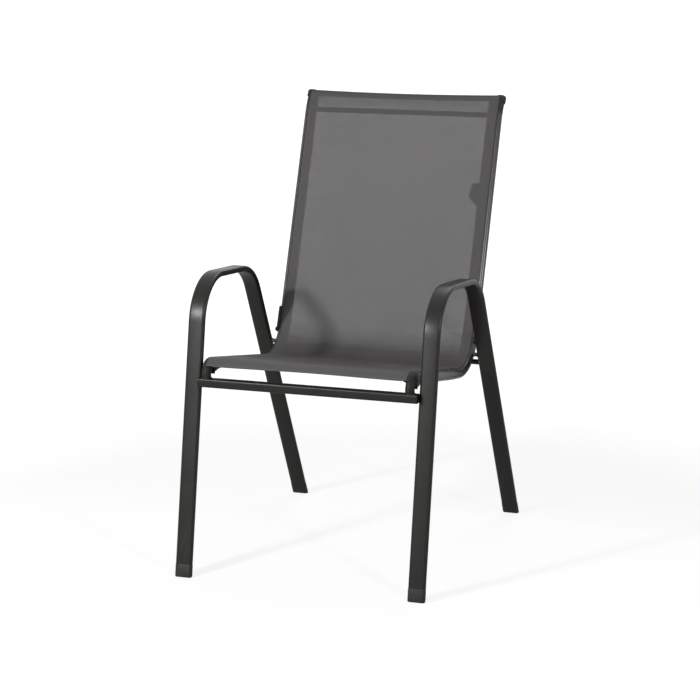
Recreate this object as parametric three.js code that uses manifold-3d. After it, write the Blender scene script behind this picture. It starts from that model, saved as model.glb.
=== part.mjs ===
// Sling patio chair: two bent side frames, two sewn-in sling rails, cross tubes, pads and caps.
// Millimetres, +Z up, the seat faces -Y; left and right are the picture's, so +X is right.
import * as THREE from "three";
import Module from "manifold-3d";

const wasm = await Module();
wasm.setup();

// ---- sizes that drive the chair ----
const fitGap = 0.3; // air between two pieces that touch

// side frame: one flat-oval tube bent into front leg, arm and rear leg
const frameOutset = 33.1; // from a rail's middle out to its side frame's middle, at the front feet
const frameToe = 0.335; // degrees that each side frame opens to the rear
const tubeWidth = 36;
const tubeDepth = 12.2;
const tubeWall = 1.2;
const frontLegRun = 521.5; // straight run of the front leg up to its bend
const frontBendRadius = 98.5;
const armRun = 117.3;
const rearBendRadius = 106;
const frontLegRake = 9.76; // degrees off upright
const frontBendTurn = 84.42; // degrees
const rearBendTurn = 57.13; // degrees

// foot caps
const capWall = 0.9;
const capHeight = 24;
const capSole = 4;
const capRounding = 1.8;

// sling rails: one round tube each side, bent at the front edge and behind the seat
const railSpacing = 431;
const railDiameter = 19;
const railWall = 1.2;
const railFrontSetback = 54.5; // rail's upright end behind the front feet's middle
const railNoseRise = 5.1; // straight stub between the cross tube and the nose bend
const railNoseRadius = 23;
const seatLine = 387.6; // from the nose bend to where the seat and back lines meet
const seatTilt = 9.9; // degrees, lower at the back
const railHeelRadius = 96;
const backLine = 601.8; // from the same corner to the rails' upper ends, along the rail
const backRecline = 20.56; // degrees off upright
const railTopRadius = 120; // slight bend to the rear near the upper end
const railTopTurn = 12; // degrees
const railTopRun = 25; // above that bend
const railCapLength = 6.4;
const railCapLip = 3.4;
const railCapRounding = 3;
const railCapStem = 14;

// cross tubes
const frontTubeHeight = 18;
const frontTubeDepth = 20;
const frontTubeCorner = 3;
const frontTubeTop = 405;
const frontTubeAdvance = 13; // in front of the leg's middle line
const rearTubeDiameter = 11.6;
const rearTubeHeight = 383.5; // of its middle
const rearTubeSetback = 10; // behind the rear legs' middle line
const frontTubeLap = 1.5; // how far each cross tube's coped end passes the leg's inner edge
const rearTubeLap = 5;
const spreaderDiameter = 10;
const spreaderDrop = 41; // below the rails' upper ends, along the back
const spreaderSetback = 3.5; // behind the rails' middle plane

// sling
const fabricThickness = 1.1;
const seamInset = 20; // inner edge of the under-layer, from the rail's middle
const seamWidth = 3.3; // stitched strip where the under-layer is one with the sheet
const slingNoseTurn = 38; // degrees of the nose bend that the fabric leaves bare
const slingTopDrop = 1.2;
const seatSag = 7;
const backSag = 3;
const sleeveDroop = 3.4; // how far the loose sleeve hangs under the rail at the seat
const cornerCut = 18; // side of the triangle that is cut off each front corner
const frontHem = 16;
const topHem = 13;
const hemExtra = 0.9; // a hem's further layer

// plastic pads
const stackPadLength = 55;
const stackPadStart = 6.5; // its middle above the heel bend, along the back
const stackPadWall = 4.2;
const stackPadWrap = 200; // degrees
const stackPadTwist = 40; // degrees that the wrap's middle lies behind straight out
const stackPadRib = 2.2;
const stackPadRibLength = 6;
const nosePadLength = 52;
const nosePadWidth = 17;
const nosePadDrop = 19.5; // lower face under the rail's middle at the pad's front end
const nosePadLift = 7;
const nosePadStart = 9;

// stubs between rail and rear leg, blank tag behind the sling
const stubDiameter = 8.6;
const tagWidth = 22;
const tagHeight = 48;
const tagThickness = 0.8;
const tagRise = 279; // above the heel bend, along the back

// ---- shares of a size (no unit) ----
const halfShare = 0.5;
const arcStepShare = 9; // degrees of bend per step
const ovalSteps = 8;
const roundSteps = 12;
const slingSpanSteps = 8;
const seatSteps = 5;
const backSteps = 7;

const rad = THREE.MathUtils.degToRad;
const half = (v) => v * halfShare;

// ---- paths in a side plane: a pen that moves along straight runs and bends ----
// heading 0 is straight up, positive headings lean to the rear; a positive turn bends to the rear
function pen(y, z, heading) {
  const stops = [{ y, z, heading, s: 0 }];
  const last = () => stops[stops.length - 1];
  const api = {
    run(length, steps = 1) {
      for (let i = 0; i < steps; i++) {
        const p = last();
        const d = length / steps;
        const a = rad(p.heading);
        stops.push({ y: p.y + d * Math.sin(a), z: p.z + d * Math.cos(a), heading: p.heading, s: p.s + d });
      }
      return api;
    },
    bend(radius, turn) {
      const steps = Math.max(2, Math.ceil(Math.abs(turn) / arcStepShare));
      const from = last();
      const side = Math.sign(turn);
      const a0 = rad(from.heading);
      const cy = from.y + side * radius * Math.cos(a0);
      const cz = from.z - side * radius * Math.sin(a0);
      for (let i = 1; i <= steps; i++) {
        const heading = from.heading + (turn * i) / steps;
        const a = rad(heading);
        stops.push({
          y: cy - side * radius * Math.cos(a),
          z: cz + side * radius * Math.sin(a),
          heading,
          s: from.s + (rad(Math.abs(turn)) * radius * i) / steps,
        });
      }
      return api;
    },
    runToFloor(level) {
      const p = last();
      return api.run((level - p.z) / Math.cos(rad(p.heading)));
    },
    stops,
  };
  return api;
}

// a frame carries a section: u runs along +X, v points to the upper or sitting side of the path
const frameAt = (x, stop) => {
  const a = rad(stop.heading);
  return {
    origin: new THREE.Vector3(x, stop.y, stop.z),
    u: new THREE.Vector3(1, 0, 0),
    v: new THREE.Vector3(0, -Math.cos(a), Math.sin(a)),
    stop,
  };
};

// ---- sections, each a ring of [u, v] counter-clockwise ----
const reversed = (ring) => ring.slice().reverse();
const circle = (radius, steps = roundSteps) =>
  Array.from({ length: steps }, (_, i) => {
    const a = (2 * Math.PI * i) / steps;
    return [radius * Math.cos(a), radius * Math.sin(a)];
  });
function roundedRect(width, height, radius, steps) {
  const ring = [];
  const cx = half(width) - radius;
  const cy = half(height) - radius;
  [[1, 1], [-1, 1], [-1, -1], [1, -1]].forEach(([sx, sy], quarter) => {
    for (let i = 0; i <= steps; i++) {
      const a = (Math.PI / 2) * (quarter + i / steps);
      ring.push([sx * cx + radius * Math.cos(a), sy * cy + radius * Math.sin(a)]);
    }
  });
  return ring;
}
const ovalShare = 0.985; // corner radius of the flat-oval tube as a share of half its depth
const flatOval = (grow = 0) =>
  roundedRect(
    tubeWidth + 2 * grow,
    tubeDepth + 2 * grow,
    half(tubeDepth + 2 * grow) * ovalShare,
    half(ovalSteps),
  );

// ---- solids ----
function geometryFrom(points, faces) {
  const g = new THREE.BufferGeometry();
  g.setAttribute("position", new THREE.BufferAttribute(new Float32Array(points.flat()), 3));
  g.setIndex(faces.flat());
  return g;
}
function toSolid(geometry) {
  const make = (flip) => {
    const index = Array.from(geometry.index.array);
    if (flip)
      for (let i = 0; i < index.length; i += 3) [index[i + 1], index[i + 2]] = [index[i + 2], index[i + 1]];
    const mesh = new wasm.Mesh({
      numProp: 3,
      vertProperties: new Float32Array(geometry.attributes.position.array),
      triVerts: new Uint32Array(index),
    });
    mesh.merge();
    return new wasm.Manifold(mesh);
  };
  const solid = make(false);
  return solid.volume() < 0 ? make(true) : solid;
}
function toGeometry(solid) {
  const m = solid.getMesh();
  const points = new Float32Array(m.numVert * 3);
  for (let i = 0; i < m.numVert; i++) {
    const from = i * m.numProp;
    points.set(m.vertProperties.subarray(from, from + 3), i * 3);
  }
  const g = new THREE.BufferGeometry();
  g.setAttribute("position", new THREE.BufferAttribute(points, 3));
  g.setIndex(Array.from(m.triVerts));
  return g;
}

// rings(frame, i) gives the outer ring first and then its holes; every frame has the same counts
function sweep(frames, rings) {
  const points = [];
  const faces = [];
  const sections = frames.map((frame, i) => rings(frame, i));
  const starts = sections.map((section, i) =>
    section.map((ring) => {
      const start = points.length;
      const { origin, u, v } = frames[i];
      ring.forEach(([a, b]) => {
        const p = origin.clone().addScaledVector(u, a).addScaledVector(v, b);
        points.push([p.x, p.y, p.z]);
      });
      return start;
    }),
  );
  for (let i = 0; i + 1 < frames.length; i++)
    sections[i].forEach((ring, r) => {
      const n = ring.length;
      for (let k = 0; k < n; k++) {
        const a = starts[i][r] + k;
        const b = starts[i][r] + ((k + 1) % n);
        const c = starts[i + 1][r] + k;
        const d = starts[i + 1][r] + ((k + 1) % n);
        faces.push([a, b, d], [a, d, c]);
      }
    });
  const cap = (i, flip) => {
    const rows = sections[i].map((ring) => ring.map(([a, b]) => new THREE.Vector2(a, b)));
    const at = sections[i].flatMap((ring, r) => ring.map((_, k) => starts[i][r] + k));
    THREE.ShapeUtils.triangulateShape(rows[0], rows.slice(1)).forEach(([a, b, c]) =>
      faces.push(flip ? [at[a], at[c], at[b]] : [at[a], at[b], at[c]]),
    );
  };
  cap(0, true);
  cap(frames.length - 1, false);
  return toSolid(geometryFrom(points, faces));
}
const hollow = (outer, inner) => () => [outer, reversed(inner)];
const straight = (from, to, u, v) => [from, to].map((origin) => ({ origin, u, v }));
const X = new THREE.Vector3(1, 0, 0);
const Y = new THREE.Vector3(0, 1, 0);
const Z = new THREE.Vector3(0, 0, 1);
const at = (x, y, z) => new THREE.Vector3(x, y, z);
const alongX = (x0, x1, y, z) => straight(at(x0, y, z), at(x1, y, z), Y, Z);
const extrude = (frames, ring, ...holes) => sweep(frames, () => [ring, ...holes.map(reversed)]);
const joined = (solids) => wasm.Manifold.union(solids);
const mirrored = (solid) => toSolid(toGeometry(solid).scale(-1, 1, 1));

// ---- side frame ----
const framePath = pen(0, 0, frontLegRake)
  .run(frontLegRun)
  .bend(frontBendRadius, frontBendTurn)
  .run(armRun)
  .bend(rearBendRadius, rearBendTurn)
  .runToFloor(0).stops;
const frameX = half(railSpacing) + frameOutset;
const legMiddle = (z, rear) => {
  // y of the leg's middle line at a height
  const [a, b] = rear ? framePath.slice(-2) : framePath.slice(0, 2);
  return a.y + ((b.y - a.y) * (z - a.z)) / (b.z - a.z);
};
// the tube stops above the floor by the sole's thickness, square to the leg
const trimmed = (path, first, last) => {
  const stops = path.map((s) => ({ ...s }));
  const move = (i, towards, distance) => {
    const p = stops[i];
    const q = stops[towards];
    const length = Math.hypot(q.y - p.y, q.z - p.z);
    p.y += ((q.y - p.y) * distance) / length;
    p.z += ((q.z - p.z) * distance) / length;
  };
  move(0, 1, first);
  move(stops.length - 1, stops.length - 2, last);
  return stops;
};
const soleLift = (heading) => {
  const lean = rad(heading);
  return (capSole + half(tubeDepth + 2 * capWall) * Math.abs(Math.sin(lean))) / Math.abs(Math.cos(lean));
};
const rearHeading = framePath[framePath.length - 1].heading;
const tubeStops = trimmed(framePath, soleLift(frontLegRake), soleLift(rearHeading));
const toed = (y) => frameX + y * Math.tan(rad(frameToe));
const frameTube = (grow = 0, wall = tubeWall) =>
  sweep(
    tubeStops.map((s) => frameAt(toed(s.y), s)),
    wall ? hollow(flatOval(grow), flatOval(-wall)) : () => [flatOval(grow)],
  );

// foot cap: a socket round the tube's end with a sole cut level with the floor
function footCap(rear) {
  const ends = rear ? tubeStops.slice(-2).reverse() : tubeStops.slice(0, 2);
  const [end, next] = ends;
  const x = toed(end.y);
  const length = Math.hypot(next.y - end.y, next.z - end.z);
  const dir = at(0, (next.y - end.y) / length, (next.z - end.z) / length);
  const v = at(0, -dir.z, dir.y);
  const p = (d) => at(x, end.y, end.z).addScaledVector(dir, d);
  const outer = (shrink) =>
    roundedRect(
      tubeWidth + 2 * (capWall + fitGap - shrink),
      tubeDepth + 2 * (capWall + fitGap - shrink),
      half(tubeDepth + 2 * (capWall + fitGap - shrink)) * ovalShare,
      half(ovalSteps),
    );
  const deep = soleLift(rear ? rearHeading : frontLegRake) + half(tubeDepth);
  const body = sweep(
    [-deep, capHeight - capSole - capRounding, capHeight - capSole].map((d) => ({ origin: p(d), u: X, v })),
    (_, i) => [outer(i === 2 ? capRounding * halfShare : 0)],
  );
  const socket = extrude(straight(p(-fitGap), p(capHeight), X, v), flatOval(fitGap));
  // the floor cut, its rounded edge made with a second, narrower and lower sole
  const belowFloor = (lift, inset) =>
    extrude(
      straight(at(x, end.y - length, lift), at(x, end.y + length, lift), X, Z.clone().negate()),
      [
        [-tubeWidth, 0],
        [tubeWidth, 0],
        [tubeWidth, half(length)],
        [-tubeWidth, half(length)],
      ].map(([a, b]) => [a, b + inset]),
    );
  const upper = body.subtract(belowFloor(capRounding, 0));
  const floorY = end.y - dir.y * (end.z / dir.z);
  const edge = (z, shrink) => ({
    origin: at(x, floorY + (dir.y / dir.z) * z, z),
    u: X,
    v: Y.clone().negate(),
    shrink,
  });
  const sole = sweep([edge(0, capRounding), edge(capRounding, 0)], (frame) => {
    const depth = (tubeDepth + 2 * (capWall + fitGap)) / Math.abs(dir.z) - 2 * frame.shrink;
    const width = tubeWidth + 2 * (capWall + fitGap - frame.shrink);
    return [roundedRect(width, depth, half(depth) * ovalShare, half(ovalSteps))];
  });
  return joined([upper, sole]).subtract(socket);
}

// ---- sling rails ----
const railX = half(railSpacing);
const railRadius = half(railDiameter);
const railStartZ = frontTubeTop + fitGap;
const railY = railFrontSetback;
const rightAngle = 90;
const noseTurn = rightAngle + seatTilt;
const heelTurn = noseTurn - backRecline;
const heelTangent = railHeelRadius * Math.tan(rad(half(heelTurn)));
const seatRun = seatLine - heelTangent;
const topArc = rad(railTopTurn) * railTopRadius;
const backRun = backLine - heelTangent - topArc - railTopRun;
const railPath = pen(railY, railStartZ, 0)
  .run(railNoseRise)
  .bend(railNoseRadius, noseTurn)
  .run(seatRun, seatSteps)
  .bend(railHeelRadius, -heelTurn)
  .run(backRun, backSteps)
  .bend(railTopRadius, railTopTurn)
  .run(railTopRun).stops;
const noseArc = rad(noseTurn) * railNoseRadius;
const heelArc = rad(heelTurn) * railHeelRadius;
const heelStart = railNoseRise + noseArc + seatRun;
const backStart = heelStart + heelArc;
const railEnd = backStart + backRun + topArc + railTopRun;
// the rail's own stops plus one at each wanted distance along it
function stopAt(s) {
  const i = railPath.findIndex((p, k) => k > 0 && (p.s >= s || k === railPath.length - 1));
  const a = railPath[i - 1];
  const b = railPath[i];
  const t = (s - a.s) / (b.s - a.s);
  const mix = (k) => a[k] + (b[k] - a[k]) * t;
  if (a.heading === b.heading) return { y: mix("y"), z: mix("z"), heading: a.heading, s };
  const turn = rad(b.heading - a.heading);
  const radius = (b.s - a.s) / turn;
  const a0 = rad(a.heading);
  const a1 = rad(mix("heading"));
  return {
    y: a.y + radius * (Math.cos(a0) - Math.cos(a1)),
    z: a.z - radius * (Math.sin(a0) - Math.sin(a1)),
    heading: mix("heading"),
    s,
  };
}
const railBetween = (s0, s1) => [
  stopAt(s0),
  ...railPath.filter((p) => p.s > s0 + fabricThickness && p.s < s1 - fabricThickness),
  stopAt(s1),
];
// a tube needs no stop inside a straight run
const bendsOnly = (stops) =>
  stops.filter((p, i) => {
    const [before, after] = [stops[i - 1], stops[i + 1]];
    return !before || !after || before.heading !== p.heading || after.heading !== p.heading;
  });
const rail = (x) =>
  sweep(
    bendsOnly(railPath).map((s) => frameAt(x, s)),
    hollow(circle(railRadius), circle(railRadius - railWall)),
  );
const railCore = (x, grow, s0 = 0, s1 = railEnd) =>
  sweep(
    railBetween(s0, s1).map((s) => frameAt(x, s)),
    () => [circle(railRadius + grow)],
  );

// end cap: a domed lip over the tube's end and a stem inside it
function railCap(x) {
  const end = stopAt(railEnd);
  const a = rad(end.heading);
  const dir = at(0, Math.sin(a), Math.cos(a));
  const v = at(0, -Math.cos(a), Math.sin(a));
  const rows = [
    [-railCapStem, railRadius - railWall - fitGap],
    [fitGap, railRadius - railWall - fitGap],
    [fitGap, railRadius + railCapLip],
    [fitGap + railCapLength * halfShare, railRadius + railCapLip],
    [fitGap + railCapLength, railRadius + railCapLip - railCapRounding],
  ];
  const frames = rows.map(([d]) => ({ origin: at(x, end.y, end.z).addScaledVector(dir, d), u: X, v }));
  const stem = sweep(frames.slice(0, 2), (_, i) => [circle(rows[i][1])]);
  const lip = sweep(frames.slice(2), (_, i) => [circle(rows[i + 2][1])]);
  const top = at(x, end.y, end.z);
  const core = extrude(
    straight(top, top.clone().addScaledVector(dir, railCapLip), X, v),
    circle(railRadius - railWall - fitGap),
  );
  return joined([stem, core, lip]);
}

// ---- cross tubes ----
const legSolid = frameTube(fitGap, 0); // the side frame with the gap round it, for cutting
const frontTubeZ = frontTubeTop - half(frontTubeHeight);
const frontTubeY = legMiddle(frontTubeZ, false) - frontTubeAdvance;
const innerFace = (y) => toed(y) - half(tubeWidth); // x of the leg's inner edge
const frontTubeReach = innerFace(frontTubeY) + frontTubeLap;
function frontTube() {
  const ring = (grow) =>
    roundedRect(
      frontTubeDepth + 2 * grow,
      frontTubeHeight + 2 * grow,
      Math.max(frontTubeCorner + grow, fitGap),
      2,
    );
  const body = extrude(
    alongX(-frontTubeReach, frontTubeReach, frontTubeY, frontTubeZ),
    ring(0),
    ring(-tubeWall),
  );
  return body.subtract(legSolid).subtract(mirrored(legSolid));
}

const rearTubeY = legMiddle(rearTubeHeight, true) + rearTubeSetback;
function rearTube() {
  const reach = innerFace(rearTubeY) + rearTubeLap;
  const radius = half(rearTubeDiameter);
  return extrude(
    alongX(-reach, reach, rearTubeY, rearTubeHeight),
    circle(radius),
    circle(radius - tubeWall),
  )
    .subtract(legSolid)
    .subtract(mirrored(legSolid));
}

function spreader() {
  const s = stopAt(railEnd - spreaderDrop);
  const a = rad(s.heading);
  const y = s.y + spreaderSetback * Math.cos(a);
  const z = s.z - spreaderSetback * Math.sin(a);
  const body = extrude(alongX(-railX, railX, y, z), circle(half(spreaderDiameter), roundSteps));
  return { body, y, z };
}

// ---- sling: a sheet over both rails with a sewn sleeve round each ----
const sleeveInner = railRadius + fitGap;
const sleeveOuter = sleeveInner + fabricThickness;
const padEnd = railNoseRise + noseArc + nosePadLength - nosePadStart;
const slingStart = railNoseRise + rad(slingNoseTurn) * railNoseRadius;
const slingEnd = railEnd - slingTopDrop;
function teardrop(radius, seam, top, droop) {
  // sleeve on the +u side of the sheet: round the rail, then a straight under-layer to the stitch line
  const reach = Math.hypot(seam, top);
  const tangent = Math.atan2(top, -seam) + Math.acos(radius / reach);
  const ring = [];
  const from = Math.PI / 2;
  const to = tangent - 2 * Math.PI;
  for (let i = 0; i <= roundSteps; i++) {
    const a = from + ((to - from) * i) / roundSteps;
    const low = Math.max(0, -Math.sin(a));
    ring.push([radius * Math.cos(a), radius * Math.sin(a) - droop * low * low]);
  }
  return ring; // from the top, clockwise round the outer side, to the under-layer's tangent point
}
const smooth = (t) => t * t * (3 - 2 * t);
const clamp01 = (t) => Math.min(1, Math.max(0, t));
function sagAt(s) {
  const seat = clamp01((s - slingStart) / (heelStart - slingStart));
  const back = clamp01((s - backStart) / (slingEnd - backStart));
  const heel = clamp01((s - heelStart) / (backStart - heelStart));
  const seatPart = seatSag * Math.sin(Math.PI * seat) ** 2;
  const backPart = backSag * Math.sin(Math.PI * back) ** 2;
  return seatPart + backPart + half(backSag) * Math.sin(Math.PI * heel);
}
// 1 along the seat, 0 at the nose, round the heel and up the back
const seatShare = (s) => {
  const fromPad = clamp01((s - padEnd - 2 * frontHem) / nosePadLength);
  const toHeel = clamp01((heelStart - s) / heelArc + halfShare);
  return smooth(fromPad) * smooth(toHeel);
};
function slingRings(frame) {
  const s = frame.stop.s;
  const top = sleeveOuter;
  const extra = hemExtra * Math.max(
    1 - smooth(clamp01((s - slingStart - frontHem) / fabricThickness)),
    smooth(clamp01((s - slingEnd + topHem) / fabricThickness)),
  );
  const sag = sagAt(s);
  const across = (w, level) => level - sag * (1 - (w / (railX - seamInset)) ** 2);
  const droop = sleeveDroop * seatShare(s);
  const right = teardrop(sleeveOuter, seamInset, sleeveInner, droop);
  const inner = teardrop(sleeveInner, seamInset - seamWidth, sleeveInner - fabricThickness, droop);
  const spans = Array.from({ length: slingSpanSteps + 1 }, (_, i) =>
    (railX - seamInset) * (1 - (2 * i) / slingSpanSteps));
  const outerRing = [
    ...spans.map((w) => [w, across(w, top)]),
    ...right.map(([u, v]) => [-railX - u, v]),
    ...reversed(spans).map((w) => [w, across(w, top - fabricThickness - extra)]),
    ...reversed(right).map(([u, v]) => [railX + u, v]),
  ];
  const hole = [...inner, [-(seamInset - seamWidth), sleeveInner - fabricThickness * halfShare]];
  const rightHole = hole.map(([u, v]) => [railX + u, v]);
  const leftHole = hole.map(([u, v]) => [-railX - u, v]);
  return [outerRing, rightHole, reversed(leftHole)];
}
function sling(spreaderPlace) {
  const sheet = sweep(
    [
      ...railBetween(slingStart, slingStart + frontHem),
      ...railBetween(slingStart + frontHem + fabricThickness, slingEnd - topHem),
      ...railBetween(slingEnd - topHem + fabricThickness, slingEnd),
    ].map((s) => frameAt(0, s)),
    slingRings,
  );
  const slot = extrude(
    alongX(-railX, railX, spreaderPlace.y, spreaderPlace.z),
    circle(half(spreaderDiameter) + fitGap, roundSteps),
  );
  const nose = stopAt(slingStart);
  const corner = (side) =>
    extrude(
      straight(at(0, 0, frontTubeTop), at(0, 0, frontTubeTop + cornerCut * 2), X, Y),
      (side > 0 ? (ring) => ring : reversed)([
        [side * (railX + sleeveOuter + fitGap - cornerCut), nose.y - cornerCut],
        [side * (railX + sleeveOuter + cornerCut), nose.y - cornerCut],
        [side * (railX + sleeveOuter + cornerCut), nose.y - sleeveOuter + cornerCut * 2],
        [side * (railX + sleeveOuter + fitGap), nose.y - sleeveOuter + cornerCut],
        [side * (railX + sleeveOuter + fitGap - cornerCut), nose.y - sleeveOuter],
      ]),
    );
  return sheet.subtract(slot).subtract(corner(1)).subtract(corner(-1));
}

// ---- pads, links, tag ----
function stackPad(x) {
  const s0 = backStart + stackPadStart - half(stackPadLength);
  const side = Math.sign(x);
  const arcRing = (inner, outer) => {
    const steps = roundSteps;
    const from = rad(-half(stackPadWrap) - stackPadTwist);
    const to = rad(half(stackPadWrap) - stackPadTwist);
    const row = (radius, i) => {
      const a = from + ((to - from) * i) / steps;
      return [side * radius * Math.cos(a), radius * Math.sin(a)];
    };
    const outerRow = Array.from({ length: steps + 1 }, (_, i) => row(outer, i));
    const innerRow = Array.from({ length: steps + 1 }, (_, i) => row(inner, steps - i));
    const ring = [...outerRow, ...innerRow];
    return side > 0 ? ring : reversed(ring);
  };
  const inner = sleeveOuter + fitGap;
  const shell = (length, outer) =>
    sweep(
      railBetween(s0, s0 + length).map((s) => frameAt(x, s)),
      () => [arcRing(inner, outer)],
    );
  const body = shell(stackPadLength, inner + stackPadWall);
  const rib = shell(stackPadRibLength, inner + stackPadWall + stackPadRib);
  return joined([body, rib]);
}

function nosePad(x) {
  const s0 = railNoseRise + noseArc - nosePadStart;
  const front = stopAt(s0);
  const rear = stopAt(s0 + nosePadLength);
  const w = half(nosePadWidth);
  const lowFront = front.z - nosePadDrop;
  const lowRear = lowFront + nosePadLift;
  const profile = [
    [front.y, lowFront],
    [rear.y, lowRear],
    [rear.y, rear.z],
    [front.y, front.z],
  ];
  const body = extrude(alongX(x - w, x + w, 0, 0), profile);
  const grow = (fitGap + sleeveOuter) / Math.cos(Math.PI / roundSteps);
  const ring = circle(grow);
  const under = [...ring.slice(half(roundSteps)), ring[0]];
  const keepOut = sweep(
    railBetween(0, railNoseRise + noseArc + seatRun).map((stop) => frameAt(x, stop)),
    () => [[...under, [grow, nosePadDrop], [-grow, nosePadDrop]]],
  );
  return body.subtract(keepOut);
}

// link stub: a short bar from the rail's side to the leg's inner edge, where the two cross in the side view
const behindLeg = (p) => p.y - legMiddle(p.z, true);
const crossing = () => {
  const i = railPath.findIndex((p) => behindLeg(p) >= 0);
  const [a, b] = [railPath[i - 1], railPath[i]];
  const t = behindLeg(a) / (behindLeg(a) - behindLeg(b));
  return { y: a.y + (b.y - a.y) * t, z: a.z + (b.z - a.z) * t };
};
const stub = crossing();
const stubBar = (grow) =>
  extrude(
    alongX(railX, innerFace(stub.y) + half(tubeDepth), stub.y, stub.z),
    circle(half(stubDiameter) + grow),
  );

function tag() {
  const outer = railX - seamInset - fitGap;
  const inner = outer - tagWidth;
  const under = (w, stop) =>
    sleeveOuter - fabricThickness - fitGap - sagAt(stop.s) * (1 - (w / (railX - seamInset)) ** 2);
  return sweep(
    [backStart + tagRise, backStart + tagRise + tagHeight].map(stopAt).map((stop) => frameAt(0, stop)),
    ({ stop }) => [
      [
        [inner, under(inner, stop) - tagThickness],
        [outer, under(outer, stop) - tagThickness],
        [outer, under(outer, stop)],
        [inner, under(inner, stop)],
      ],
    ],
  );
}

// ---- looks of the nodes ----
const paint = () => new THREE.MeshStandardMaterial({ color: 0x35353a, metalness: 0.4, roughness: 0.45 });
const cloth = () => new THREE.MeshStandardMaterial({ color: 0x6f6e6f, roughness: 0.9 });
const plastic = () => new THREE.MeshStandardMaterial({ color: 0x161617, roughness: 0.6 });

const group = new THREE.Group();
group.name = "sling_patio_chair";
const add = (name, solid, material) => {
  const mesh = new THREE.Mesh(toGeometry(solid), material);
  mesh.name = name;
  group.add(mesh);
  return solid;
};

const cross = spreader();
const stubGap = stubBar(fitGap);
const pair = (name, solid, material) => {
  add(`right_${name}`, solid, material());
  add(`left_${name}`, mirrored(solid), material());
};
pair("side_frame", frameTube(), paint);
pair("front_foot_cap", footCap(false), plastic);
pair("rear_foot_cap", footCap(true), plastic);
pair("sling_rail", rail(railX), paint);
pair("rail_cap", railCap(railX), plastic);
add("front_cross_tube", frontTube(), paint());
add("rear_cross_tube", rearTube(), paint());
const railCut = railCore(railX, fitGap);
add("top_spreader_bar", cross.body.subtract(railCut).subtract(mirrored(railCut)), paint());
add("sling", sling(cross).subtract(stubGap).subtract(mirrored(stubGap)), cloth());
pair("seat_pad", nosePad(railX), plastic);
pair("stacking_pad", stackPad(railX), plastic);
pair("link_stub", stubBar(0).subtract(railCut).subtract(legSolid), paint);
add("blank_tag", tag(), cloth());

// the part's origin is the middle of its footprint, on the floor
group.updateMatrixWorld(true);
const bounds = new THREE.Box3().setFromObject(group);
const middle = bounds.getCenter(new THREE.Vector3());
group.children.forEach((mesh) => mesh.geometry.translate(-middle.x, -middle.y, -bounds.min.z));

export default group;
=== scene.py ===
# %% [markdown]
# # A sling patio chair
# Two bent flat-oval tubes make the legs and arms. Two bent round rails carry one stretched woven sheet. The
# chair's solids come packed from the drawing step, in metres, with the floor at z = 0 and the sitter facing
# -Y. They fix every place and size, so this file only gives each piece its finished surface.

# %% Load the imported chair
from functools import partial
import bmesh
import bpy
import numpy as np
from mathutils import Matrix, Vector


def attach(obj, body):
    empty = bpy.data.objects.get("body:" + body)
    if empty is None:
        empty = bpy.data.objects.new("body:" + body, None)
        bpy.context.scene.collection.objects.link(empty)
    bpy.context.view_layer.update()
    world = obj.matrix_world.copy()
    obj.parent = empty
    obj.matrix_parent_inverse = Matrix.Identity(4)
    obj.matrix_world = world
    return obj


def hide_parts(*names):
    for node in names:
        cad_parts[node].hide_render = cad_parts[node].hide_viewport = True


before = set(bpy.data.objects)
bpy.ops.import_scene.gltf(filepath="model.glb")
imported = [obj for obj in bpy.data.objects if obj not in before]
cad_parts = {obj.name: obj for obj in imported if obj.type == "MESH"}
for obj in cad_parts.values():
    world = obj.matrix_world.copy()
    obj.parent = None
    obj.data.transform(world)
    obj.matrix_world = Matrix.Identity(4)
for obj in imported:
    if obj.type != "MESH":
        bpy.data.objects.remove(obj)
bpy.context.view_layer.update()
scene = bpy.context.scene

# %% [markdown]
# ## Camera, floor and light
# The camera stands where the photograph was taken: in front, to the right (+X), 0.4 m above the chair's
# top, with a long lens. It comes first, so that each later step can be looked at from there. Product
# photographs are lit by large soft boxes. A picture of a studio could light the chair as well, but lamps
# can be moved one by one until each highlight lies where the photograph has it. The background is pale
# because the camera sees the world and the floor as white, and not because of extra light.

# %% Camera at the photograph's angle
PICTURE_SIDE = 700  # pixels of the square photograph
camera_data = bpy.data.cameras.new("photo_camera")
camera_data.sensor_width, camera_data.lens = 36.0, 114.31
camera_data.shift_x, camera_data.shift_y = -0.5 / PICTURE_SIDE, 0.5 / PICTURE_SIDE  # half a pixel each way
camera = bpy.data.objects.new("photo_camera", camera_data)
camera.location = (1.514, -4.3243, 1.3661)
camera.rotation_euler = Vector((-0.32542, 0.92371, -0.20216)).to_track_quat("-Z", "Y").to_euler()
scene.collection.objects.link(camera)
scene.camera = camera
scene.view_settings.view_transform = "Standard"
print("camera", tuple(round(v, 3) for v in camera.location), "lens", camera_data.lens)


# %% Helpers that add one shader node each
def put(tree, value, socket):
    """Sets a socket from a number or a tuple, or links it from another socket."""
    if isinstance(value, (int, float, tuple)):
        socket.default_value = value
    else:
        tree.links.new(value, socket)


def maths(tree, operation, a, b=None):
    """One Math node; a and b are sockets or numbers."""
    node = tree.nodes.new("ShaderNodeMath")
    node.operation = operation
    put(tree, a, node.inputs[0])
    if b is not None:
        put(tree, b, node.inputs[1])
    return node.outputs[0]


def ranged(tree, value, from_min, from_max, to_min, to_max):
    """One Map Range node, which stays within its limits; each of them is a socket or a number."""
    node = tree.nodes.new("ShaderNodeMapRange")
    given = {"Value": value, "From Min": from_min, "From Max": from_max, "To Min": to_min, "To Max": to_max}
    for label, item in given.items():
        put(tree, item, node.inputs[label])
    return node.outputs[0]


print("node helpers", put.__name__, maths.__name__, ranged.__name__)

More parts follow.
